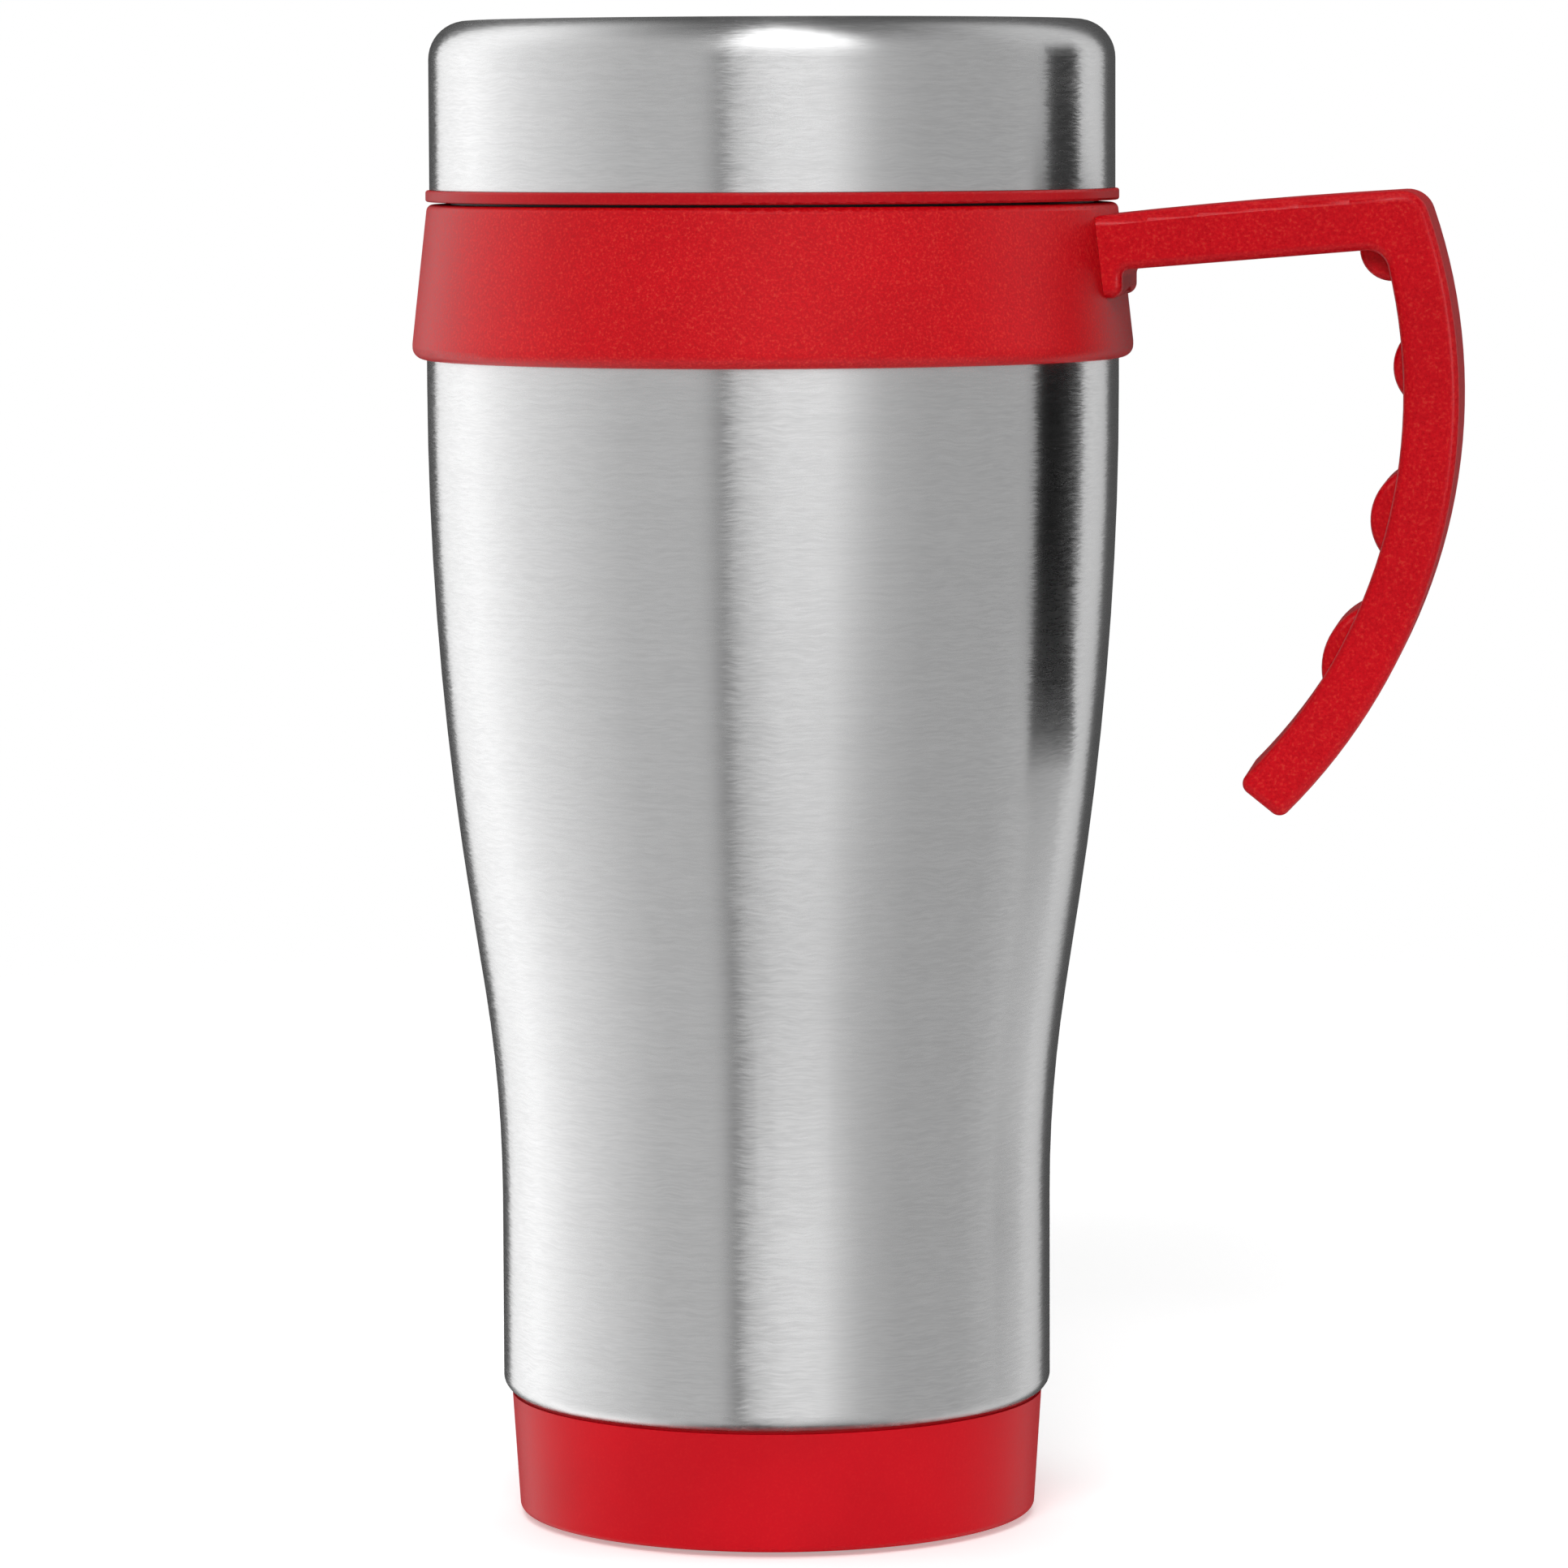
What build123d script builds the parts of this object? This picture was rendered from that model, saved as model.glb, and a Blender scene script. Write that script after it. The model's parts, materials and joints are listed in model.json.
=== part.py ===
from build123d import *
from math import cos, radians, sin
import os

# Insulated travel mug: a steel shell over a plastic cup, a collar with a handle, a base cup and a
# push-in lid with a sliding drink cover. Millimetres. The origin is on the mug's axis at the plane it
# stands on, +Z is up, and the handle points along +X. The drink opening faces -X.

os.makedirs("parts", exist_ok=True)

# ---- Driving dimensions -------------------------------------------------------------------------

total_height = 175.5
fit_gap = 0.05  # between two pieces that touch once assembled
slide_gap = 0.3  # between pieces that move past each other

# Body outline: a straight neck, an outward sweep, a short taper, an inward sweep, a straight foot
body_radius = 40.42
foot_radius = 32.3
sweep_top_z = 133.0
sweep_foot_z = 38.0
taper_angle = radians(8.8)
upper_sweep_radius = 395.0
lower_sweep_radius = 158.0

# Steel shell
steel_thickness = 0.5
shell_top_z = 145.5
curl_radius = 1.9
curl_z = 16.5
curl_degrees = 61.7

# Plastic cup inside the shell
liner_air_gap = 3.5
liner_wall = 1.6
liner_floor_z = 16.5
liner_corner_radius = 5.0
liner_rim_z = 154.5
liner_rim_radius = 37.5
liner_flange_radius = 38.2
liner_flange_z = 151.0

# Collar
collar_top_z = 154.25
collar_bottom_z = 136.3
collar_top_radius = 40.27
collar_widest_radius = 42.1
collar_widest_z = 138.1
collar_bore = 38.3
collar_ledge_radius = 36.6
collar_ledge_bottom_z = 148.6
collar_spigot_z = 141.0
collar_lower_fillet = 1.4
collar_upper_fillet = 0.8
seal_groove_radius = 37.0
seal_groove_depth = 1.1

# Handle, drawn in the XZ plane
handle_width = 24.0
handle_edge_radius = 1.2
arm_top_root = (38.0, 152.72)
arm_top_middle = (57.5, 154.55)
arm_top_corner = (75.8, 155.75)
arm_under_root = (41.8, 146.65)
arm_under_corner = (71.6, 149.0)
root_face_x = 41.8
root_bottom_z = 143.4
root_fillet = 0.9
root_end_radius = 1.3
corner_outer_radius = 3.2
corner_inner_radius = 2.5
grip_outer_centre = (13.5, 131.5)
grip_outer_radius = 66.8
grip_inner_centre = (11.7, 132.2)
grip_inner_radius = 62.2
grip_top_angle = radians(20)
grip_end_angle = radians(-45.9)
grip_end_radius = 1.3
tongue_x = 38.5
tongue_width = 16.0
tongue_bottom_z = 147.0
tongue_top_z = 151.5

# Finger rests on the handle's inner side, from the top down: centre in the XZ plane, and radius
finger_rests = [
    ((72.5, 149.0), 3.75),
    ((77.86, 135.47), 5.23),
    ((76.43, 117.87), 6.37),
    ((72.2, 100.8), 7.7),
]
finger_rest_width = 16.0
finger_rest_edge = 0.9
finger_rest_reach = 64.5  # they end at this radius about the grip's inner centre, inside the band

# Base cup and the pad under it
base_top_radius = 31.3
base_top_z = 14.4
base_bottom_radius = 30.4
base_bottom_z = 0.5
base_edge_radius = 0.7
base_neck_radius = 30.9
base_neck_top_z = 21.0
base_wall = 2.0
base_floor_z = 4.0
ring_groove_radius = 30.1
ring_groove_z = 18.0
ring_groove_width = 2.0
pad_radius = 26.5
pad_thickness = 1.8
pad_edge_radius = 0.4

# Lid body and its steel cover
flange_radius = 40.45
flange_bottom_z = 154.55
flange_top_z = 155.9
flange_edge_radius = 0.3
cover_radius = 40.0
cover_shoulder_radius = 4.5
cover_mouth_radius = 30.5
cover_roll_radius = 2.3
plate_radius = 39.4
plate_top_z = 170.0
plate_thickness = 2.0
lid_wall_inner_radius = 37.0

# Plug and gasket
plug_radius = 33.4
plug_wall = 1.6
plug_bottom_z = 142.5
plug_floor_thickness = 1.8
plug_edge_radius = 1.0
plug_shoulder_thickness = 1.8
plug_spigot_wall = 1.6
plug_spigot_top_z = 160.5
gasket_low_z = 146.4
gasket_high_z = 151.6
gasket_play = 0.1
gasket_groove_radius = 32.6
gasket_band_radius = 33.9
gasket_lip_radius = 34.5
gasket_lips_z = (147.7, 150.3)
lip_root_half_height = 0.5
lip_tip_half_height = 0.2
lip_root_depth = 0.1

# Drink slot, vent and slider, which lie along X on the lid's plate
drink_slot_x = -23.5
drink_slot_length = 7.0
drink_slot_width = 14.0
drink_slot_corner = 3.0
chimney_wall = 1.2
vent_x = 26.0
vent_radius = 1.4
vent_tube_radius = 3.0
slider_travel = 12.0
slider_nose_radius = 29.3
slider_tail_x = 11.0
slider_half_width = 9.0
slider_plate_thickness = 2.0
slider_corner_radius = 3.0
slider_edge_radius = 0.5
seal_pocket_depth = 1.0
stem_x = -6.0
stem_length = 4.0
stem_width = 6.0
stem_bottom_z = 166.2
stem_slot_play = 0.2
stem_slot_corner = 0.4
clip_length = 10.0
clip_width = 12.0
clip_thickness = 1.2
clip_corner_radius = 1.5
guide_rib_width = 1.2
guide_rib_height = 1.2
guide_rib_length = 44.0
guide_rib_corner = 0.5
thumb_rib_x = -8.0
thumb_rib_pitch = 3.0
thumb_rib_count = 4
thumb_rib_width = 1.5
thumb_rib_length = 13.0
thumb_rib_corner = 0.6
thumb_rib_top_z = 174.4
thumb_rib_taper = 6
thumb_rib_edge_radius = 0.35


# ---- Helpers ------------------------------------------------------------------------------------


def polar(centre, radius, angle):
    """The point at that radius and angle from a centre, with the angle measured up from +X."""
    return (centre[0] + radius * cos(angle), centre[1] + radius * sin(angle))


def section(points):
    """A closed polygon in the half plane of radius and height."""
    with BuildSketch(Plane.XZ) as drawn:
        with BuildLine():
            Polyline(*points, close=True)
        make_face()
    return drawn.sketch


def draw_wall(inset, z_top, z_foot):
    """Draws the body's outline, set in from its outer skin, from z_top down to z_foot."""
    upper_centre = (body_radius - upper_sweep_radius, sweep_top_z)
    lower_centre = (foot_radius + lower_sweep_radius, sweep_foot_z)
    neck = (body_radius - inset, sweep_top_z)
    taper_top = polar(upper_centre, upper_sweep_radius - inset, -taper_angle)
    taper_foot = polar(lower_centre, -(lower_sweep_radius + inset), -taper_angle)
    foot = (foot_radius - inset, sweep_foot_z)
    Line((body_radius - inset, z_top), neck)
    TangentArc(neck, taper_top, tangent=(0, -1))
    taper = Line(taper_top, taper_foot)
    TangentArc(taper_foot, foot, tangent=taper % 1)
    Line(foot, (foot_radius - inset, z_foot))


def rim(part, radius, top=False):
    """A part's lowest circle of that radius, or its highest."""
    circles = part.edges().filter_by(GeomType.CIRCLE)
    matching = circles.filter_by(lambda edge: abs(edge.radius - radius) < 0.01)
    return matching.sort_by(Axis.Z)[-1 if top else 0]


# ---- Mug body -----------------------------------------------------------------------------------

# Steel shell, with its lower edge curled in over the base cup
curl_centre = (foot_radius - curl_radius, curl_z)
curl_inner_radius = curl_radius - steel_thickness
curl_end = -radians(curl_degrees)
with BuildPart() as outer_shell:
    with BuildSketch(Plane.XZ):
        with BuildLine():
            draw_wall(0, shell_top_z, curl_z)
            CenterArc(curl_centre, curl_radius, 0, -curl_degrees)
            Line(polar(curl_centre, curl_radius, curl_end), polar(curl_centre, curl_inner_radius, curl_end))
            CenterArc(curl_centre, curl_inner_radius, -curl_degrees, curl_degrees)
            draw_wall(steel_thickness, shell_top_z, curl_z)
            Line((body_radius - steel_thickness, shell_top_z), (body_radius, shell_top_z))
        make_face()
    revolve(axis=Axis.Z)
outer_shell.part.label = "outer_shell"
export_step(outer_shell.part, "parts/outer_shell.step")

# Plastic cup that holds the drink, hung from the collar by its flange
liner_outer_inset = steel_thickness + liner_air_gap
liner_inner_inset = liner_outer_inset + liner_wall
corner_x = foot_radius - liner_inner_inset - liner_corner_radius
corner_z = liner_floor_z + liner_corner_radius
with BuildPart() as inner_liner:
    with BuildSketch(Plane.XZ):
        with BuildLine():
            draw_wall(liner_inner_inset, liner_rim_z, corner_z)
            CenterArc((corner_x, corner_z), liner_corner_radius, 0, -90)
            Polyline(
                (corner_x, liner_floor_z),
                (0, liner_floor_z),
                (0, liner_floor_z - liner_wall),
                (corner_x, liner_floor_z - liner_wall),
            )
            CenterArc((corner_x, corner_z), liner_corner_radius + liner_wall, -90, 90)
            draw_wall(liner_outer_inset, liner_flange_z, corner_z)
            Polyline(
                (body_radius - liner_outer_inset, liner_flange_z),
                (liner_flange_radius, liner_flange_z),
                (liner_flange_radius, collar_top_z),
                (liner_rim_radius, collar_top_z),
                (liner_rim_radius, liner_rim_z),
                (body_radius - liner_inner_inset, liner_rim_z),
            )
        make_face()
    revolve(axis=Axis.Z)
inner_liner.part.label = "inner_liner"
export_step(inner_liner.part, "parts/inner_liner.step")

# Collar: a cone outside, a groove below for the shell's top edge, and a ledge for the cup's flange
ledge_top_z = liner_flange_z - fit_gap
seal_groove_z = ledge_top_z - seal_groove_depth
groove_outer_radius = body_radius + fit_gap
groove_inner_radius = body_radius - steel_thickness - fit_gap
tongue_centre = ((tongue_x + root_face_x) / 2, 0, (tongue_bottom_z + tongue_top_z) / 2)
tongue_size = (root_face_x - tongue_x, tongue_width, tongue_top_z - tongue_bottom_z)
collar_section = section(
    [
        (collar_top_radius, collar_top_z),
        (collar_widest_radius, collar_widest_z),
        (collar_widest_radius, collar_bottom_z),
        (groove_outer_radius, collar_bottom_z),
        (groove_outer_radius, shell_top_z + fit_gap),
        (groove_inner_radius, shell_top_z + fit_gap),
        (groove_inner_radius, collar_spigot_z),
        (collar_bore, collar_spigot_z),
        (collar_bore, collar_ledge_bottom_z),
        (collar_ledge_radius, collar_ledge_bottom_z),
        (collar_ledge_radius, ledge_top_z),
        (seal_groove_radius, ledge_top_z),
        (seal_groove_radius, seal_groove_z),
        (collar_bore, seal_groove_z),
        (collar_bore, collar_top_z),
    ]
)
with BuildPart() as collar:
    revolve(collar_section, axis=Axis.Z)
    fillet(rim(collar, collar_widest_radius), collar_lower_fillet)
    fillet(rim(collar, collar_top_radius, top=True), collar_upper_fillet)
    with Locations(tongue_centre):
        Box(*[side + 2 * fit_gap for side in tongue_size], mode=Mode.SUBTRACT)
collar.part.label = "collar"
export_step(collar.part, "parts/collar.step")

# Silicone ring under the cup's flange
with BuildPart() as liner_seal:
    with BuildSketch(Plane.XZ):
        with Locations(((seal_groove_radius + collar_bore) / 2, seal_groove_z + seal_groove_depth / 2)):
            Circle(seal_groove_depth / 2 - fit_gap)
    revolve(axis=Axis.Z)
liner_seal.part.label = "liner_seal"
export_step(liner_seal.part, "parts/liner_seal.step")


def finger_rest(centre, radius):
    """One rounded rest, cut off where it is inside the handle's band."""
    with BuildPart() as rest:
        with BuildSketch(Plane.XZ):
            with Locations(centre):
                Circle(radius)
            with Locations(grip_inner_centre):
                Circle(finger_rest_reach, mode=Mode.INTERSECT)
        extrude(amount=finger_rest_width / 2, both=True)
        fillet(rest.faces().filter_by(Axis.Y).edges(), finger_rest_edge)
    return rest.part


# Handle: one open band, with four finger rests on its inner side and a tongue in the collar
rests = [finger_rest(centre, radius) for centre, radius in finger_rests]
grip_middle_angle = (grip_top_angle + grip_end_angle) / 2
grip_outer_end = polar(grip_outer_centre, grip_outer_radius, grip_end_angle)
grip_inner_end = polar(grip_inner_centre, grip_inner_radius, grip_end_angle)
band_fillets = [
    (arm_top_corner, corner_outer_radius),
    (arm_under_corner, corner_inner_radius),
    (arm_under_root, root_fillet),
    ((root_face_x, root_bottom_z), root_end_radius),
    (grip_outer_end, grip_end_radius),
    (grip_inner_end, grip_end_radius),
]
collar_cone = section(
    [
        (0, collar_widest_z),
        (collar_widest_radius, collar_widest_z),
        (collar_top_radius, collar_top_z),
        (0, collar_top_z),
    ]
)
with BuildPart() as handle:
    with BuildSketch(Plane.XZ) as band:
        with BuildLine():
            ThreePointArc(arm_top_root, arm_top_middle, arm_top_corner)
            ThreePointArc(
                arm_top_corner,
                polar(grip_outer_centre, grip_outer_radius, grip_middle_angle),
                grip_outer_end,
            )
            Line(grip_outer_end, grip_inner_end)
            ThreePointArc(
                grip_inner_end,
                polar(grip_inner_centre, grip_inner_radius, grip_middle_angle),
                arm_under_corner,
            )
            Polyline(
                arm_under_corner,
                arm_under_root,
                (root_face_x, root_bottom_z),
                (arm_top_root[0], root_bottom_z),
                arm_top_root,
            )
        make_face()
        for corner, radius in band_fillets:
            fillet(band.vertices().sort_by_distance(corner)[0], radius)
    extrude(amount=handle_width / 2, both=True)
    side_edges = handle.faces().filter_by(Axis.Y).edges()
    fillet(side_edges.filter_by(lambda edge: edge.center().X > collar_top_radius + 1), handle_edge_radius)
    revolve(collar_cone, axis=Axis.Z, mode=Mode.SUBTRACT)
    with Locations(tongue_centre):
        Box(*tongue_size)
    add(rests)
handle.part.label = "handle"
export_step(handle.part, "parts/handle.step")

# Base cup, pressed up into the shell's foot
pocket_radius = pad_radius + fit_gap
pocket_top_z = pad_thickness + fit_gap
base_section = section(
    [
        (0, pocket_top_z),
        (pocket_radius, pocket_top_z),
        (pocket_radius, base_bottom_z),
        (base_bottom_radius, base_bottom_z),
        (base_top_radius, base_top_z),
        (base_neck_radius, base_top_z),
        (base_neck_radius, ring_groove_z - ring_groove_width / 2),
        (ring_groove_radius, ring_groove_z - ring_groove_width / 2),
        (ring_groove_radius, ring_groove_z + ring_groove_width / 2),
        (base_neck_radius, ring_groove_z + ring_groove_width / 2),
        (base_neck_radius, base_neck_top_z),
        (base_neck_radius - base_wall, base_neck_top_z),
        (base_bottom_radius - base_wall, base_floor_z),
        (0, base_floor_z),
    ]
)
with BuildPart() as base_cup:
    revolve(base_section, axis=Axis.Z)
    fillet(rim(base_cup, base_bottom_radius), base_edge_radius)
base_cup.part.label = "base_cup"
export_step(base_cup.part, "parts/base_cup.step")

# Rubber ring between the base cup's neck and the shell
shell_inner_foot = foot_radius - steel_thickness
with BuildPart() as base_seal:
    with BuildSketch(Plane.XZ):
        with Locations(((shell_inner_foot + ring_groove_radius) / 2, ring_groove_z)):
            Circle((shell_inner_foot - ring_groove_radius - fit_gap) / 2)
    revolve(axis=Axis.Z)
base_seal.part.label = "base_seal"
export_step(base_seal.part, "parts/base_seal.step")

# Non-slip pad under the base cup: its lower face is what the mug stands on
with BuildPart() as base_pad:
    Cylinder(pad_radius, pad_thickness, align=(Align.CENTER, Align.CENTER, Align.MIN))
    fillet(base_pad.edges().group_by(Axis.Z)[0], pad_edge_radius)
base_pad.part.label = "base_pad"
export_step(base_pad.part, "parts/base_pad.step")

# ---- Lid ----------------------------------------------------------------------------------------

# Lid body: the flange, the wall inside the steel cover and the plate that the slider lies on
plate_bottom_z = plate_top_z - plate_thickness
guide_rib_y = slider_half_width + slide_gap + guide_rib_width / 2
stem_slot_length = stem_length + slider_travel + 2 * stem_slot_play
lid_section = section(
    [
        (lid_wall_inner_radius, flange_bottom_z),
        (flange_radius, flange_bottom_z),
        (flange_radius, flange_top_z),
        (plate_radius, flange_top_z),
        (plate_radius, plate_top_z),
        (0, plate_top_z),
        (0, plate_bottom_z),
        (lid_wall_inner_radius, plate_bottom_z),
    ]
)
with BuildPart() as lid_body:
    revolve(lid_section, axis=Axis.Z)
    fillet(rim(lid_body, flange_radius), flange_edge_radius)
    fillet(rim(lid_body, flange_radius, top=True), flange_edge_radius)
    with BuildSketch(Plane.XY.offset(plate_top_z)):
        with GridLocations(0, 2 * guide_rib_y, 1, 2):
            RectangleRounded(guide_rib_length, guide_rib_width, guide_rib_corner)
    extrude(amount=guide_rib_height)
    with BuildSketch(Plane.XY.offset(plate_bottom_z)):
        with Locations((drink_slot_x, 0)):
            RectangleRounded(drink_slot_length, drink_slot_width, drink_slot_corner)
        with Locations((stem_x + slider_travel / 2, 0)):
            RectangleRounded(stem_slot_length, stem_width + 2 * stem_slot_play, stem_slot_corner)
        with Locations((vent_x, 0)):
            Circle(vent_radius)
    extrude(amount=plate_thickness, mode=Mode.SUBTRACT)
lid_body.part.label = "lid_body"
export_step(lid_body.part, "parts/lid_body.step")

# Steel cover over the lid body: a skirt, a rounded shoulder, a flat rim and a lip rolled down inside
shoulder_centre = (cover_radius - cover_shoulder_radius, total_height - cover_shoulder_radius)
roll_centre = (cover_mouth_radius + cover_roll_radius, total_height - cover_roll_radius)
skirt_bottom_z = flange_top_z + fit_gap
lip_bottom_z = plate_top_z + fit_gap
with BuildPart() as lid_cover:
    with BuildSketch(Plane.XZ):
        with BuildLine():
            for skin in (0, steel_thickness):
                Line((cover_radius - skin, skirt_bottom_z), (cover_radius - skin, shoulder_centre[1]))
                CenterArc(shoulder_centre, cover_shoulder_radius - skin, 0, 90)
                Line((shoulder_centre[0], total_height - skin), (roll_centre[0], total_height - skin))
                CenterArc(roll_centre, cover_roll_radius - skin, 90, 90)
                Line((cover_mouth_radius + skin, roll_centre[1]), (cover_mouth_radius + skin, lip_bottom_z))
            Line((cover_radius, skirt_bottom_z), (cover_radius - steel_thickness, skirt_bottom_z))
            Line((cover_mouth_radius, lip_bottom_z), (cover_mouth_radius + steel_thickness, lip_bottom_z))
        make_face()
    revolve(axis=Axis.Z)
lid_cover.part.label = "lid_cover"
export_step(lid_cover.part, "parts/lid_cover.step")

# Plug that closes the lid from below, with the drink chimney and the vent tube
plug_floor_top_z = plug_bottom_z + plug_floor_thickness
plug_inner_radius = plug_radius - plug_wall
spigot_radius = lid_wall_inner_radius - 2 * fit_gap
spigot_inner_radius = spigot_radius - plug_spigot_wall
plug_shoulder_top_z = flange_bottom_z + plug_shoulder_thickness
tube_height = plate_bottom_z - fit_gap - plug_floor_top_z
chimney_length = drink_slot_length + 2 * chimney_wall
chimney_width = drink_slot_width + 2 * chimney_wall
plug_section = section(
    [
        (0, plug_bottom_z),
        (plug_radius, plug_bottom_z),
        (plug_radius, gasket_low_z),
        (gasket_groove_radius, gasket_low_z),
        (gasket_groove_radius, gasket_high_z),
        (plug_radius, gasket_high_z),
        (plug_radius, flange_bottom_z),
        (spigot_radius, flange_bottom_z),
        (spigot_radius, plug_spigot_top_z),
        (spigot_inner_radius, plug_spigot_top_z),
        (spigot_inner_radius, plug_shoulder_top_z),
        (plug_inner_radius, plug_shoulder_top_z),
        (plug_inner_radius, plug_floor_top_z),
        (0, plug_floor_top_z),
    ]
)
with BuildPart() as lid_plug:
    revolve(plug_section, axis=Axis.Z)
    fillet(rim(lid_plug, plug_radius), plug_edge_radius)
    with BuildSketch(Plane.XY.offset(plug_floor_top_z)):
        with Locations((drink_slot_x, 0)):
            RectangleRounded(chimney_length, chimney_width, drink_slot_corner + chimney_wall)
        with Locations((vent_x, 0)):
            Circle(vent_tube_radius)
    extrude(amount=tube_height)
    with BuildSketch(Plane.XY.offset(plug_bottom_z)):
        with Locations((drink_slot_x, 0)):
            RectangleRounded(drink_slot_length, drink_slot_width, drink_slot_corner)
        with Locations((vent_x, 0)):
            Circle(vent_radius)
    extrude(amount=plug_floor_thickness + tube_height, mode=Mode.SUBTRACT)
lid_plug.part.label = "lid_plug"
export_step(lid_plug.part, "parts/lid_plug.step")

# Silicone gasket with two lips, in the plug's groove
band_inner_radius = gasket_groove_radius + slide_gap
lip_root_radius = gasket_band_radius - lip_root_depth
band_section = section(
    [
        (band_inner_radius, gasket_low_z + gasket_play),
        (gasket_band_radius, gasket_low_z + gasket_play),
        (gasket_band_radius, gasket_high_z - gasket_play),
        (band_inner_radius, gasket_high_z - gasket_play),
    ]
)
lip_sections = [
    section(
        [
            (lip_root_radius, lip_z - lip_root_half_height),
            (gasket_lip_radius, lip_z - lip_tip_half_height),
            (gasket_lip_radius, lip_z + lip_tip_half_height),
            (lip_root_radius, lip_z + lip_root_half_height),
        ]
    )
    for lip_z in gasket_lips_z
]
with BuildPart() as lid_gasket:
    revolve(band_section, axis=Axis.Z)
    for lip_section in lip_sections:
        revolve(lip_section, axis=Axis.Z)
lid_gasket.part.label = "lid_gasket"
export_step(lid_gasket.part, "parts/lid_gasket.step")

# Slider: a thin plate with thumb ribs above, a stem through the lid's plate and a pocket for its seal
slider_bottom_z = plate_top_z + fit_gap
slider_top_z = slider_bottom_z + slider_plate_thickness
with BuildPart() as slider:
    with BuildSketch(Plane.XY.offset(slider_bottom_z)):
        with Locations(((slider_tail_x - slider_nose_radius) / 2, 0)):
            RectangleRounded(
                slider_nose_radius + slider_tail_x,
                2 * slider_half_width,
                slider_corner_radius,
            )
        Circle(slider_nose_radius, mode=Mode.INTERSECT)
    extrude(amount=slider_plate_thickness)
    fillet(slider.edges().group_by(Axis.Z)[-1], slider_edge_radius)
    with BuildSketch(Plane.XY.offset(slider_bottom_z)):
        with Locations((drink_slot_x, 0)):
            RectangleRounded(chimney_length, chimney_width, drink_slot_corner)
    extrude(amount=seal_pocket_depth, mode=Mode.SUBTRACT)
    with BuildSketch(Plane.XY.offset(stem_bottom_z)):
        with Locations((stem_x, 0)):
            Rectangle(stem_length, stem_width)
    extrude(amount=slider_bottom_z - stem_bottom_z)
    with BuildSketch(Plane.XY.offset(slider_top_z)):
        with Locations((thumb_rib_x, 0)):
            with GridLocations(thumb_rib_pitch, 0, thumb_rib_count, 1):
                RectangleRounded(thumb_rib_width, thumb_rib_length, thumb_rib_corner)
    extrude(amount=thumb_rib_top_z - slider_top_z, taper=thumb_rib_taper)
    fillet(slider.edges().group_by(Axis.Z)[-1], thumb_rib_edge_radius)
slider.part.label = "slider"
export_step(slider.part, "parts/slider.step")

# Soft seal in the slider's pocket, over the drink slot
with BuildPart() as slider_seal:
    with BuildSketch(Plane.XY.offset(plate_top_z + fit_gap / 2)):
        with Locations((drink_slot_x, 0)):
            RectangleRounded(chimney_length - 2 * fit_gap, chimney_width - 2 * fit_gap, drink_slot_corner)
    extrude(amount=seal_pocket_depth)
slider_seal.part.label = "slider_seal"
export_step(slider_seal.part, "parts/slider_seal.step")

# Clip on the stem under the lid's plate, which holds the slider down
with BuildPart() as slider_clip:
    with BuildSketch(Plane.XY.offset(plate_bottom_z - slide_gap - clip_thickness)):
        with Locations((stem_x, 0)):
            RectangleRounded(clip_length, clip_width, clip_corner_radius)
            Rectangle(stem_length + 2 * fit_gap, stem_width + 2 * fit_gap, mode=Mode.SUBTRACT)
    extrude(amount=clip_thickness)
slider_clip.part.label = "slider_clip"
export_step(slider_clip.part, "parts/slider_clip.step")
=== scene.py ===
import json
import math

import bpy
from mathutils import Matrix, Vector

# Insulated travel mug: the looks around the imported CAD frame. Metres, +Z up, the mug's axis on Z and
# its handle along +X.

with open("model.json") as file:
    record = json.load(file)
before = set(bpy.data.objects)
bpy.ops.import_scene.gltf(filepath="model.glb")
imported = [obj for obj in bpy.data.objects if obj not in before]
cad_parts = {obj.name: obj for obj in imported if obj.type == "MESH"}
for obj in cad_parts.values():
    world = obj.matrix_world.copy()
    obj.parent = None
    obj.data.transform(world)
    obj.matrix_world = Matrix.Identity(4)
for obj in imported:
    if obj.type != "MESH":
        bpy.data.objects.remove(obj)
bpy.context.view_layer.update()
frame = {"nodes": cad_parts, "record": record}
nodes = frame["nodes"]

# ---- Camera -------------------------------------------------------------------------------------

CAMERA_AZIMUTH = math.radians(7.1)  # how far it stands round from -Y, towards the handle
CAMERA_DISTANCE = 0.85
CAMERA_HEIGHT = 0.165
CAMERA_TILT = math.radians(5.3)  # downwards
CAMERA_PAN = math.radians(0.074)  # to the right
CAMERA_ROLL = math.radians(-0.22)
CAMERA_LENS = 166.7  # millimetres, like the sensor's width
CAMERA_SENSOR = 36
CAMERA_CLIP = 0.01


def add_camera():
    camera = bpy.data.objects.new("camera", bpy.data.cameras.new("camera"))
    bpy.context.scene.collection.objects.link(camera)
    camera.data.sensor_width = CAMERA_SENSOR
    camera.data.lens = CAMERA_LENS
    camera.data.clip_start = CAMERA_CLIP
    place = Matrix.Rotation(CAMERA_AZIMUTH, 4, "Z") @ Vector((0, -CAMERA_DISTANCE, CAMERA_HEIGHT))
    turn = (
        Matrix.Rotation(CAMERA_AZIMUTH - CAMERA_PAN, 4, "Z")
        @ Matrix.Rotation(math.pi / 2 - CAMERA_TILT, 4, "X")
        @ Matrix.Rotation(CAMERA_ROLL, 4, "Z")
    )
    camera.matrix_world = Matrix.Translation(place) @ turn
    bpy.context.scene.camera = camera


# ---- Node helpers -------------------------------------------------------------------------------

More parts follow.
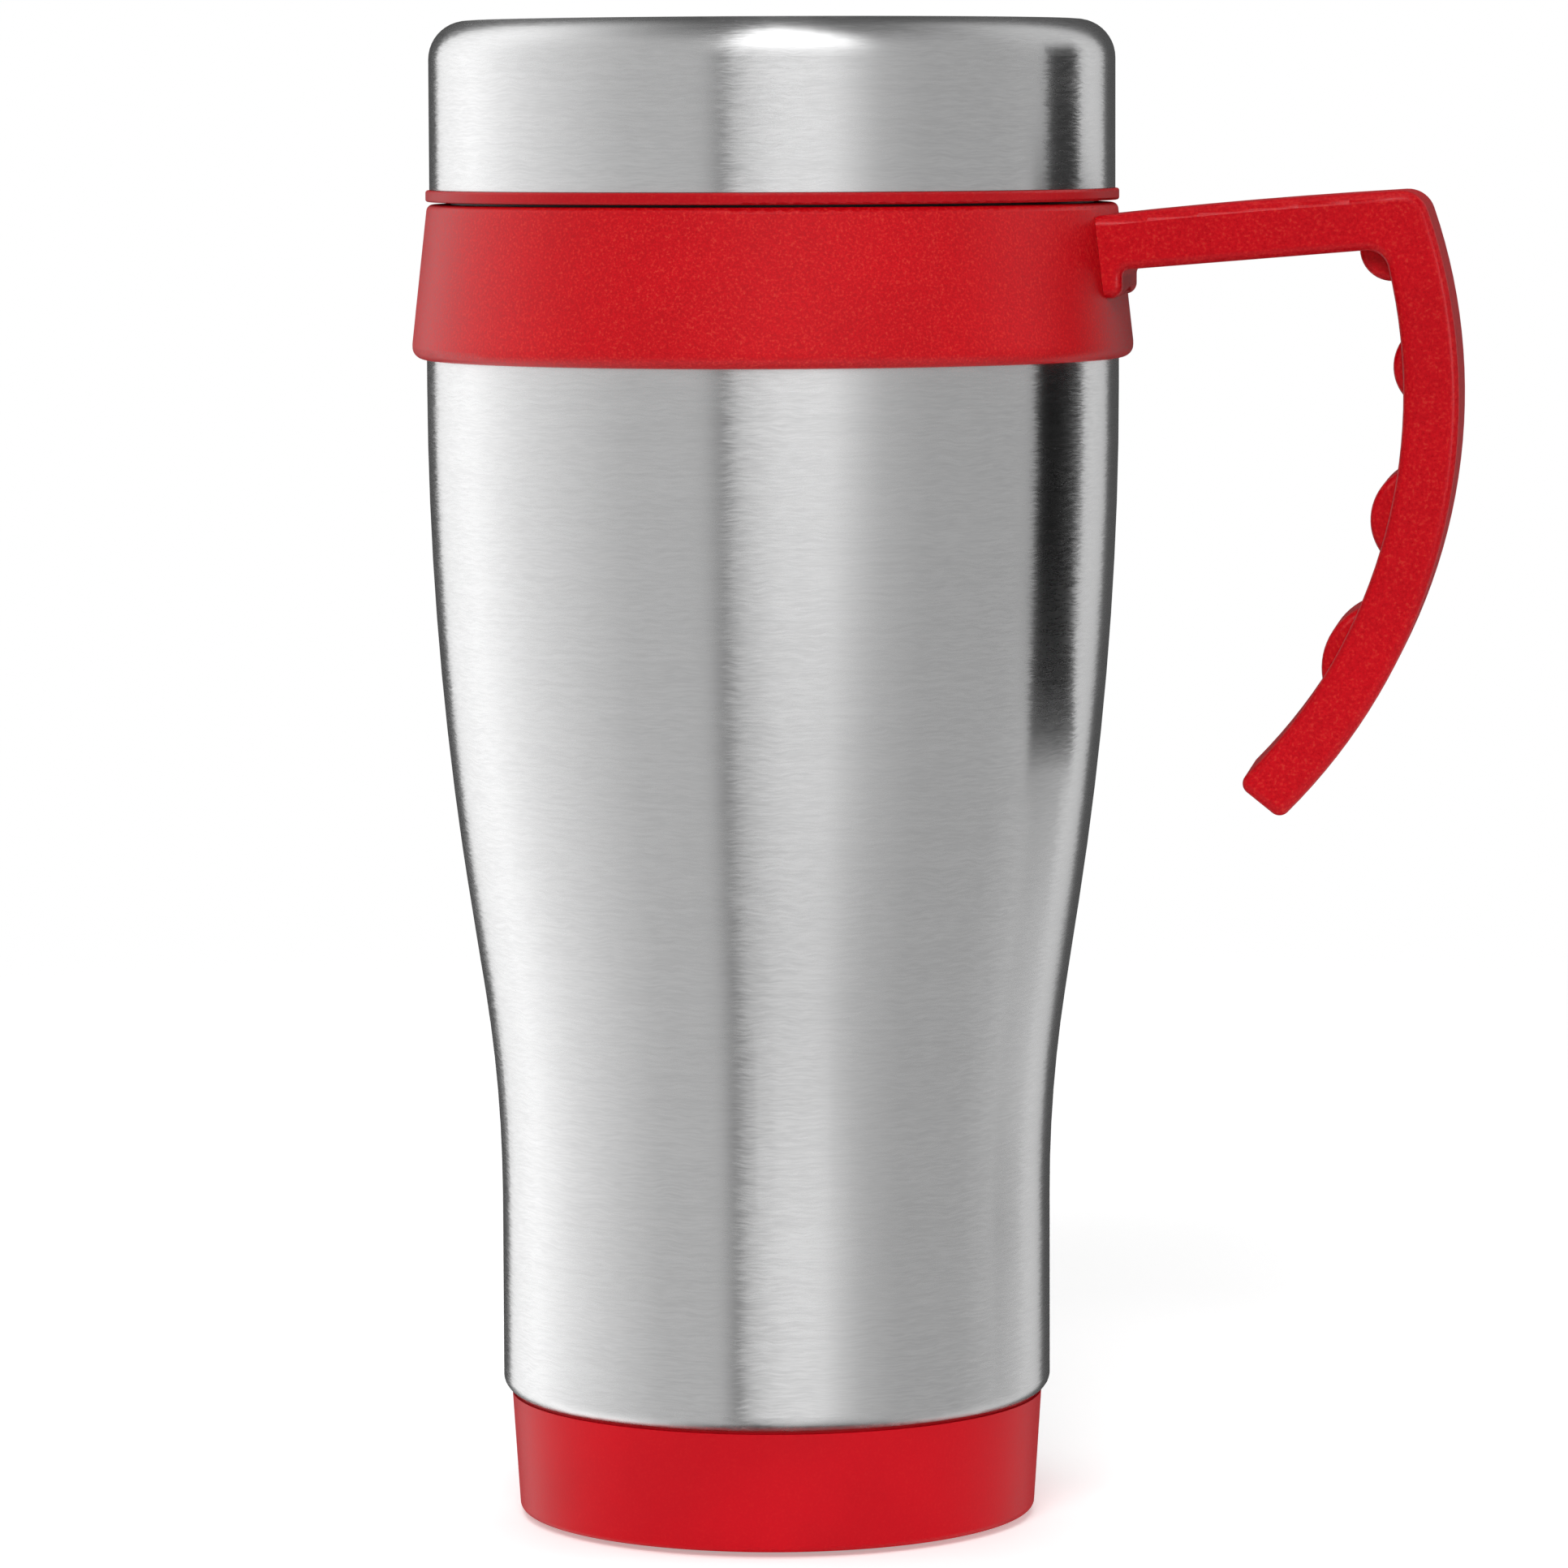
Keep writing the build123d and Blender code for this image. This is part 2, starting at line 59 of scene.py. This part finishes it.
MIX_COLOUR_INPUTS = (0, 6, 7)  # the share and the two colours, among a mix node's sockets
MIX_COLOUR_OUTPUT = 2
MIDDLE = (0.3, 0.7)  # the levels that most of a noise pattern lies between
COARSE_NOISE = {"detail": 2.0, "roughness": 0.6}
FINE_NOISE = {"detail": 3.0, "roughness": 0.6}


class Tree:
    """A node tree with short calls for adding nodes. A socket or a plain value can feed any input."""

    def __init__(self, owner):
        owner.use_nodes = True
        self.tree = owner.node_tree
        self.tree.nodes.clear()

    def node(self, kind, inputs=None, **settings):
        made = self.tree.nodes.new(kind)
        for name, value in settings.items():
            setattr(made, name, value)
        for name, value in (inputs or {}).items():
            self.feed(made.inputs[name], value)
        return made

    def feed(self, socket, value):
        if isinstance(value, bpy.types.NodeSocket):
            self.tree.links.new(value, socket)
        else:
            socket.default_value = value

    def math(self, operation, *values):
        return self.node("ShaderNodeMath", dict(enumerate(values)), operation=operation).outputs[0]

    def vector(self, operation, *values):
        made = self.node("ShaderNodeVectorMath", dict(enumerate(values)), operation=operation)
        return made.outputs["Value" if operation == "LENGTH" else "Vector"]

    def smooth(self, value, low, high, low_out=0.0, high_out=1.0):
        """A soft step from low_out, where the value is at low, to high_out, where it is at high."""
        inputs = {"Value": value, "From Min": low, "From Max": high, "To Min": low_out, "To Max": high_out}
        return self.node("ShaderNodeMapRange", inputs, interpolation_type="SMOOTHSTEP").outputs[0]

    def mix(self, share, first, second):
        inputs = dict(zip(MIX_COLOUR_INPUTS, (share, first, second)))
        return self.node("ShaderNodeMix", inputs, data_type="RGBA").outputs[MIX_COLOUR_OUTPUT]

    def mix_shaders(self, share, first, second):
        return self.node("ShaderNodeMixShader", {"Fac": share, 1: first, 2: second}).outputs[0]

    def noise(self, vector, scale, detail=2.0, roughness=0.5):
        inputs = {"Vector": vector, "Scale": scale, "Detail": detail, "Roughness": roughness}
        return self.node("ShaderNodeTexNoise", inputs).outputs["Fac"]

    def place(self):
        """Where a point is in its own object, in metres."""
        return self.node("ShaderNodeTexCoord").outputs["Object"]


def grey(level):
    return (level, level, level, 1)


BLACK = grey(0)
WHITE = grey(1)


# ---- Studio -------------------------------------------------------------------------------------

# Light level round the mug by azimuth in degrees from the camera, to the right: a bright box behind
# on the left, a fill card in front with a thin dark gap beside it, a grey room at the sides, and
# dark felt at the back
ROOM = [
    (-180, 0.08),
    (-153, 0.08),
    (-151, 1.08),
    (-120, 1.32),
    (-92, 0.94),
    (-70, 0.74),
    (-50, 0.59),
    (-24, 0.57),
    (-20, 0.46),
    (-17, 0.10),
    (-13.5, 0.62),
    (-5, 0.82),
    (3, 0.94),
    (19, 0.96),
    (25, 0.80),
    (36, 0.57),
    (52, 0.47),
    (84, 0.46),
    (98, 0.53),
    (112, 0.64),
    (132, 0.74),
    (146, 0.66),
    (148.5, 0.08),
    (180, 0.08),
]
OVERHEAD_LEVEL = 0.12
OVERHEAD_RISE = (math.radians(35), math.radians(85))  # elevations over which the walls turn into it
BELOW_LEVEL = 0.04
BELOW_FALL = (math.radians(-80), math.radians(-52))  # elevations over which it turns into the walls
FRONT_DIM = 0.24  # share of light that the front loses towards the table
FRONT_FALL = (math.radians(-28), math.radians(-2))  # elevations over which the front dims
BACKDROP_LEVEL = 1.0
ROOM_STRENGTH = 1.0

# A bright card high up in front. It fades out over the spread, which is either side of its azimuth,
# and fades in over the rise, which is in elevation.
TOP_CARD_AZIMUTH = math.radians(8)
TOP_CARD_SPREAD = (math.radians(17), math.radians(34))
TOP_CARD_RISE = (math.radians(14), math.radians(38))
TOP_CARD_LEVEL = 2.0

# Soft boxes: azimuth in degrees from the camera, elevation, side in metres and power in watts
SOFT_BOXES = {
    "overhead": (180, 85, 1.6, 11),
    "front": (-8, 34, 0.7, 16),
    "left": (-100, 20, 1.0, 6),
    "right": (90, 20, 1.0, 7),
    "back": (180, 20, 1.0, 6),
}
# Small lamps that only the handle shows, as light lines along its rounded edges, in the same terms
EDGE_LAMPS = {
    "upper_edge": (-18, 32, 0.5, 5.5),
    "outer_edge": (45, 4, 0.5, 4.5),
}
LAMP_DISTANCE = 1.5
LAMP_AIM = Vector((0, 0, 0.09))  # the middle of the mug

FLOOR_FADE = (0.15, 0.60)  # radii between which the floor fades out into the backdrop
FLOOR_CUTS = 8
FLOOR_TONE = (0.86, 0.88)
FLOOR_CLOUD = 3.0  # scale of the slow change between the two tones
FLOOR_GLOW = 0.35
FLOOR_LEVEL = -0.0002  # just under the foot, so that the two faces do not lie in one plane

CARD_AZIMUTH = math.radians(110)
CARD_DISTANCE = 0.42
CARD_WIDTH = 0.145
CARD_HEIGHTS = (0.03, 0.28)
CARD_CUTS = 4
DARK_GLOW = 0.01
FLAG_INSET = 0.0004


def add_room():
    """The world: a pale backdrop for the camera, and the studio's walls and cards for reflections."""
    world = bpy.data.worlds.new("studio")
    bpy.context.scene.world = world
    t = Tree(world)
    direction = t.node("ShaderNodeTexCoord").outputs["Generated"]
    parts = t.node("ShaderNodeSeparateXYZ", {"Vector": direction}).outputs
    azimuth = t.math("ARCTAN2", parts["X"], t.math("MULTIPLY", parts["Y"], -1))
    turned = t.math("SUBTRACT", azimuth, CAMERA_AZIMUTH)
    wrapped = t.math("WRAP", turned, math.pi, -math.pi)
    share = t.math("ADD", t.math("DIVIDE", wrapped, 2 * math.pi), 0.5)
    ramp = t.node("ShaderNodeValToRGB", {"Fac": share})
    stops = ramp.color_ramp.elements
    for stop, (degrees, level) in zip(stops, (ROOM[0], ROOM[-1])):
        stop.position = degrees / 360 + 0.5
        stop.color = grey(level)
    for degrees, level in ROOM[1:-1]:
        stops.new(degrees / 360 + 0.5).color = grey(level)
    height = t.math("ARCSINE", parts["Z"])
    above = t.smooth(height, *OVERHEAD_RISE)
    aside = t.math("ABSOLUTE", t.math("SUBTRACT", wrapped, TOP_CARD_AZIMUTH))
    front = t.smooth(aside, *TOP_CARD_SPREAD, 1, 0)
    card = t.math("MULTIPLY", front, t.smooth(height, *TOP_CARD_RISE))
    dim = t.math("MULTIPLY", front, t.smooth(height, *FRONT_FALL, FRONT_DIM, 0))
    dimmed = t.mix(dim, ramp.outputs["Color"], BLACK)
    below = t.smooth(height, *BELOW_FALL, 1, 0)
    walls = t.mix(below, dimmed, grey(BELOW_LEVEL))
    open_room = t.mix(above, walls, grey(OVERHEAD_LEVEL))
    room = t.mix(card, open_room, grey(TOP_CARD_LEVEL))
    lit = t.node("ShaderNodeBackground", {"Color": room, "Strength": ROOM_STRENGTH})
    plain = t.node("ShaderNodeBackground", {"Color": WHITE, "Strength": BACKDROP_LEVEL})
    seen = t.node("ShaderNodeLightPath").outputs["Is Camera Ray"]
    t.node("ShaderNodeOutputWorld", {"Surface": t.mix_shaders(seen, lit.outputs[0], plain.outputs[0])})
    world.cycles_visibility.diffuse = False


def add_soft_box(name, azimuth, elevation, size, power):
    """A square area light that lights what is diffuse and shows in no reflection."""
    light = bpy.data.lights.new(name, "AREA")
    light.size = size
    light.energy = power
    box = bpy.data.objects.new(name, light)
    bpy.context.scene.collection.objects.link(box)
    turn = CAMERA_AZIMUTH + math.radians(azimuth)
    rise = math.radians(elevation)
    level = math.cos(rise)
    outward = Vector((level * math.sin(turn), -level * math.cos(turn), math.sin(rise)))
    box.location = LAMP_AIM + LAMP_DISTANCE * outward
    box.rotation_mode = "QUATERNION"
    box.rotation_quaternion = outward.to_track_quat("Z", "Y")
    box.visible_glossy = False
    return box


def add_edge_lamp(name, *place_and_power):
    """An area light that shows in the handle's gloss and lights nothing else."""
    lamp = add_soft_box(name, *place_and_power)
    lamp.visible_glossy = True
    lamp.visible_diffuse = False
    lit = bpy.data.collections.new(name + "_lights")
    lit.objects.link(nodes["handle"])
    lamp.light_linking.receiver_collection = lit


def dark_material(name):
    """A nearly black surface that no light changes."""
    material = bpy.data.materials.new(name)
    t = Tree(material)
    glow = t.node("ShaderNodeEmission", {"Color": WHITE, "Strength": DARK_GLOW})
    t.node("ShaderNodeOutputMaterial", {"Surface": glow.outputs[0]})
    return material


def reflections_only(card):
    card.visible_camera = False
    card.visible_diffuse = False
    card.visible_shadow = False


def add_floor():
    """A pale floor round the mug. It fades out into the backdrop so that no horizon shows, and it is
    clear from below so that the mug's foot can be looked at."""
    bpy.ops.mesh.primitive_grid_add(
        x_subdivisions=FLOOR_CUTS, y_subdivisions=FLOOR_CUTS, size=2 * FLOOR_FADE[1]
    )
    floor = bpy.context.object
    floor.name = "floor"
    floor.location.z = FLOOR_LEVEL
    material = bpy.data.materials.new("floor")
    t = Tree(material)
    place = t.place()
    tone = t.smooth(t.noise(place, FLOOR_CLOUD), *MIDDLE, *FLOOR_TONE)
    painted = t.node("ShaderNodeBsdfDiffuse", {"Color": t.mix(tone, BLACK, WHITE)})
    glow = t.node("ShaderNodeEmission", {"Color": WHITE, "Strength": FLOOR_GLOW})
    lit = t.node("ShaderNodeAddShader", {0: painted.outputs[0], 1: glow.outputs[0]})
    clear = t.node("ShaderNodeBsdfTransparent")
    away = t.vector("LENGTH", place)
    under = t.node("ShaderNodeNewGeometry").outputs["Backfacing"]
    gone = t.math("MAXIMUM", t.smooth(away, *FLOOR_FADE), under)
    surface = t.mix_shaders(gone, lit.outputs[0], clear.outputs[0])
    t.node("ShaderNodeOutputMaterial", {"Surface": surface})
    floor.data.materials.append(material)
    floor.visible_glossy = False


def add_dark_card():
    """A black card on the right, a little behind the mug, which the steel shows as a dark band."""
    bpy.ops.mesh.primitive_grid_add(x_subdivisions=CARD_CUTS, y_subdivisions=CARD_CUTS, size=1)
    card = bpy.context.object
    card.name = "dark_card"
    low, high = CARD_HEIGHTS
    card.scale = (CARD_WIDTH, high - low, 1)
    turn = CAMERA_AZIMUTH + CARD_AZIMUTH
    card.location = (CARD_DISTANCE * math.sin(turn), -CARD_DISTANCE * math.cos(turn), (low + high) / 2)
    card.rotation_euler = (math.pi / 2, 0, turn)
    card.data.materials.append(dark_material("black_card"))
    reflections_only(card)


def add_handle_flag():
    """Hides the red handle from reflections. A dark copy inside it, which reflections alone show,
    makes the steel's band beside the handle a neutral dark one."""
    handle = nodes["handle"]
    flag = bpy.data.objects.new("handle_flag", handle.data.copy())
    bpy.context.scene.collection.objects.link(flag)
    shrink = flag.modifiers.new("shrink", "DISPLACE")
    shrink.strength = -FLAG_INSET
    shrink.mid_level = 0
    flag.data.materials.clear()
    flag.data.materials.append(dark_material("flag"))
    handle.visible_glossy = False
    reflections_only(flag)


# ---- Brushed steel ------------------------------------------------------------------------------

# Kinds of brush mark: length and thickness in metres
FINE_MARKS = (0.0022, 0.00020)
LONG_MARKS = (0.0150, 0.00040)
SLOW_BANDS = (0.0400, 0.0120)
SCRATCHES = (0.0090, 0.00018)
SCRATCH_CUT = (0.75, 0.80)  # noise levels over which a scratch comes up
FINE_SHARE = 0.7
LONG_SHARE = 0.3
BRUSH_LEAN = 0.07  # how far the surface leans round the body within a brush mark, as a slope
BRUSH_DRIFT = 0.0010  # how far a brush mark wanders up and down, in metres
BRUSH_DRIFT_SCALE = 250.0  # of the noise that moves it
BRUSH_DEPTH = 0.000005
STEEL_COLOURS = ((0.670, 0.670, 0.673, 1), (0.770, 0.770, 0.773, 1))
SCRATCH_COLOUR = grey(0.60)
STEEL_ROUGHNESS = (0.25, 0.28)
MARK_ROUGHNESS = (-0.02, 0.02)  # what a brush mark adds to it
STEEL_ANISOTROPY = 0.92
HIGHLIGHT_TURN = 0.25  # a quarter turn: highlights stretch across the brushing
LEVEL_ONLY = (1, 1, 0)  # multiplied by this, a place loses its height


def finish_material(t, shader, height, depth, normal=None):
    """Adds the relief, on top of a normal if one is given, and the output."""
    bump = t.node("ShaderNodeBump", {"Height": height, "Distance": depth, "Strength": 1.0})
    if normal:
        t.feed(bump.inputs["Normal"], normal)
    t.feed(shader.inputs["Normal"], bump.outputs["Normal"])
    t.node("ShaderNodeOutputMaterial", {"Surface": shader.outputs[0]})


def brushed_steel():
    """Stainless steel brushed round the body: short fine streaks, a slow unevenness, faint scratches.
    The streaks run round the axis on the walls and on the flat rim alike."""
    material = bpy.data.materials.new("brushed_steel")
    t = Tree(material)
    place = t.place()

    drift = t.math("MULTIPLY", t.math("SUBTRACT", t.noise(place, BRUSH_DRIFT_SCALE), 0.5), BRUSH_DRIFT)
    radius = t.vector("LENGTH", t.vector("MULTIPLY", place, LEVEL_ONLY))
    raised = t.node("ShaderNodeCombineXYZ", {"Z": t.math("SUBTRACT", drift, radius)}).outputs["Vector"]
    wavy = t.vector("ADD", place, raised)

    def streaks(length, thickness, kind=COARSE_NOISE):
        size = (1 / length, 1 / length, 1 / thickness)
        stretched = t.node("ShaderNodeMapping", {"Vector": wavy, "Scale": size})
        return t.noise(stretched.outputs["Vector"], 1.0, **kind)

    fine = streaks(*FINE_MARKS, FINE_NOISE)
    long_marks = streaks(*LONG_MARKS)
    slow = streaks(*SLOW_BANDS)
    scratches = t.smooth(streaks(*SCRATCHES), *SCRATCH_CUT)
    fine_part = t.math("MULTIPLY", fine, FINE_SHARE)
    long_part = t.math("MULTIPLY", long_marks, LONG_SHARE)
    brushing = t.math("ADD", fine_part, long_part)
    colour = t.mix(t.smooth(brushing, *MIDDLE), *STEEL_COLOURS)
    marked = t.mix(scratches, colour, SCRATCH_COLOUR)
    even = t.smooth(slow, *MIDDLE, *STEEL_ROUGHNESS)
    roughness = t.math("ADD", even, t.smooth(brushing, *MIDDLE, *MARK_ROUGHNESS))
    tangent = t.node("ShaderNodeTangent", direction_type="RADIAL", axis="Z").outputs["Tangent"]
    lean = t.math("MULTIPLY", t.math("SUBTRACT", fine, 0.5), BRUSH_LEAN)
    sideways = t.node("ShaderNodeVectorMath", {0: tangent, "Scale": lean}, operation="SCALE")
    facing = t.node("ShaderNodeNewGeometry").outputs["Normal"]
    normal = t.vector("NORMALIZE", t.vector("ADD", facing, sideways.outputs[0]))
    shader = t.node("ShaderNodeBsdfPrincipled", {"Base Color": marked, "Roughness": roughness})
    shader.inputs["Metallic"].default_value = 1.0
    shader.inputs["Anisotropic"].default_value = STEEL_ANISOTROPY
    shader.inputs["Anisotropic Rotation"].default_value = HIGHLIGHT_TURN
    t.feed(shader.inputs["Tangent"], tangent)
    finish_material(t, shader, brushing, BRUSH_DEPTH, normal=normal)
    return material


# ---- Plastics -----------------------------------------------------------------------------------

# Colour, roughness and its change over the grain, the grain's depth and size in metres, specular
# level, and how strongly the grain's light and shade are painted into the colour (painted shade in its
# pits, painted glints on its peaks)
PLASTICS = {
    "red_plastic": ((0.56, 0.0003, 0.006), 0.42, 0.06, 0.000015, 0.00030, 0.32, 0.11),
    "handle_plastic": ((0.53, 0.0001, 0.006), 0.32, 0.05, 0.000012, 0.00036, 0.17, 0.09),
    "base_plastic": ((0.54, 0.0001, 0.007), 0.38, 0.03, 0.000010, 0.00030, 0.14, 0.02),
    "lid_plastic": ((0.47, 0.001, 0.006), 0.42, 0.03, 0.000010, 0.00030, 0.25, 0.05),
    "liner_plastic": ((0.018, 0.018, 0.019), 0.38, 0.04, 0.000010, 0.00020, 0.50, 0.02),
    "slider_plastic": ((0.016, 0.016, 0.017), 0.35, 0.04, 0.000010, 0.00020, 0.50, 0.02),
    "silicone": ((0.33, 0.33, 0.32), 0.55, 0.04, 0.000010, 0.00020, 0.50, 0.02),
    "pad_rubber": ((0.022, 0.022, 0.022), 0.70, 0.06, 0.000030, 0.00020, 0.50, 0.02),
}
PAINTED_GLINT_TINT = (0.25, 0.26, 0.12)  # painted glint: colour added to the grain's peaks, where light would catch them
SHADED_PIT_WALLS = (0.35, 0.60)  # noise levels over which a pit, painted darker as shade, turns into the face
GLINT_PEAK_SIDES = (0.54, 0.70)  # noise levels over which the face turns into a peak, which carries the painted glint
CLOUD_SCALE = 60.0  # of the noise that makes the tone uneven
CLOUD_DARKENING = (0.10, 0)  # share of black in the darkest and in the lightest parts
PLASTIC_IOR = 1.49


def moulded_plastic(name, colour, roughness, grain, depth, size, gloss, painted_grain_shade_and_glint):
    """Moulded plastic or rubber: a spark-eroded grain of the given size and depth, with painted shade
    in its pits and painted glints on its peaks by the given share, and slightly uneven in tone."""
    material = bpy.data.materials.new(name)
    t = Tree(material)
    place = t.place()
    pits = t.noise(place, 1 / size, **FINE_NOISE)
    cloud = t.noise(place, CLOUD_SCALE, detail=3.0)
    # Light and shade on the grain are painted into the colour: pits darker as painted shade, faces
    # lighter, peaks paler still as painted glints
    pit_shade_colour, light = ([share * c for c in colour] for share in (1 - painted_grain_shade_and_glint, 1 + painted_grain_shade_and_glint))
    glint_colour = [c + painted_grain_shade_and_glint * tint for c, tint in zip(light, PAINTED_GLINT_TINT)]
    painted_pit_shade = t.mix(t.smooth(pits, *SHADED_PIT_WALLS), (*pit_shade_colour, 1), (*light, 1))
    painted_glints = t.mix(t.smooth(pits, *GLINT_PEAK_SIDES), painted_pit_shade, (*glint_colour, 1))
    tone = t.mix(t.smooth(cloud, *MIDDLE, *CLOUD_DARKENING), painted_glints, BLACK)
    matt = t.smooth(pits, *MIDDLE, roughness - grain, roughness + grain)
    shader = t.node("ShaderNodeBsdfPrincipled", {"Base Color": tone, "Roughness": matt})
    shader.inputs["IOR"].default_value = PLASTIC_IOR
    shader.inputs["Specular IOR Level"].default_value = gloss
    finish_material(t, shader, pits, depth)
    return material


# ---- Scene --------------------------------------------------------------------------------------

MATERIALS = {"brushed_steel": brushed_steel()}
for name, look in PLASTICS.items():
    MATERIALS[name] = moulded_plastic(name, *look)

# Each piece takes its own slot's material. The handle alone differs: its plastic is smoother than
# the collar's, though both have the same slot.
FINISHES = {row["node"]: row["material_slot"] for row in frame["record"]["subparts"]}
FINISHES["handle"] = "handle_plastic"

for name, node in nodes.items():
    node.data.materials.clear()
    node.data.materials.append(MATERIALS[FINISHES[name]])

add_camera()
add_room()
add_floor()
add_dark_card()
add_handle_flag()
for name, place_and_power in SOFT_BOXES.items():
    add_soft_box(name, *place_and_power)
for name, place_and_power in EDGE_LAMPS.items():
    add_edge_lamp(name, *place_and_power)
bpy.context.scene.view_settings.view_transform = "Standard"
